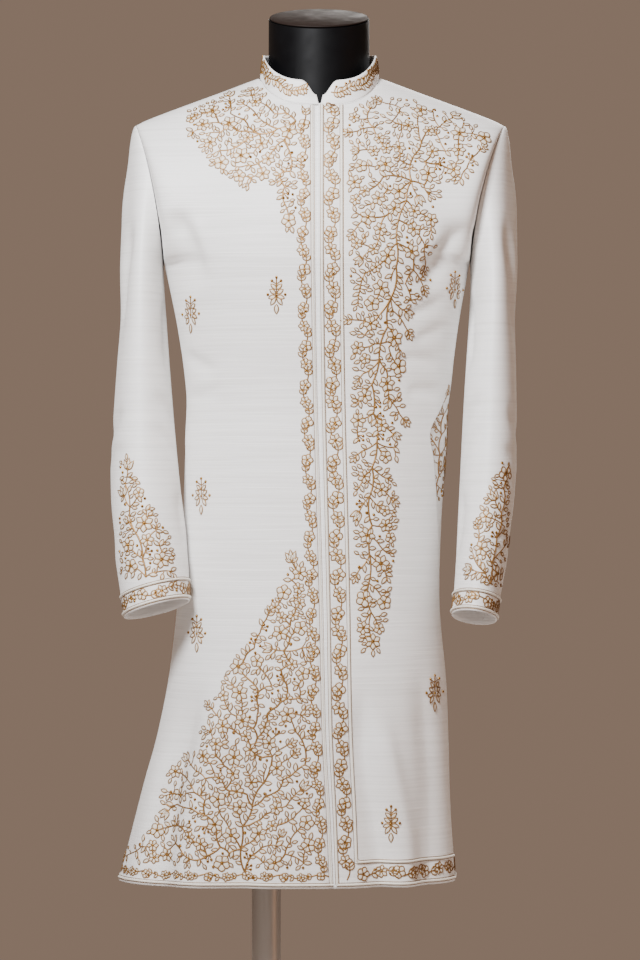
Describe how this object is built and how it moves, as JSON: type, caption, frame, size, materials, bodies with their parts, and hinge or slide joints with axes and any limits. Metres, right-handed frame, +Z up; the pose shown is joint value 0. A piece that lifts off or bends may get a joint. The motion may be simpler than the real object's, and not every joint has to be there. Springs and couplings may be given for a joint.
{
  "type": "sherwani coat on dress form",
  "caption": "Knee-length embroidered sherwani coat with a band collar and side vents, worn by a limbless dress form on a round-based pole stand.",
  "frame": {"origin": "on the floor under the middle of the whole object's box, at the underside of the base plate", "axes": "+Z up, the coat's front faces -Y, and +X is towards the wearer's left sleeve"},
  "size_m": [0.4978, 0.35, 1.5945],
  "materials": {
    "silk": "ivory slubbed raw silk with a soft sheen",
    "piping": "cream satin cord between gold couched threads",
    "form": "satin black",
    "cap": "matte dark brown",
    "steel": "brushed along its length",
    "base": "fine-textured dark powder coat"
  },
  "bodies": {
    "root": {"front_right": "silk", "front_left": "silk", "back": "silk", "sleeve_right": "silk", "sleeve_left": "silk", "collar": "silk", "edge_piping_left": "piping", "border_piping_left": "piping", "hem_piping_left": "piping", "hem_piping_right": "piping", "hem_piping_back": "piping", "cuff_piping_top_right": "piping", "cuff_piping_edge_right": "piping", "cuff_piping_top_left": "piping", "cuff_piping_edge_left": "piping", "form_torso": "form", "form_cap": "cap", "pole_flange": "steel", "pole": "steel", "base_plate": "base"}
  },
  "joints": []
}
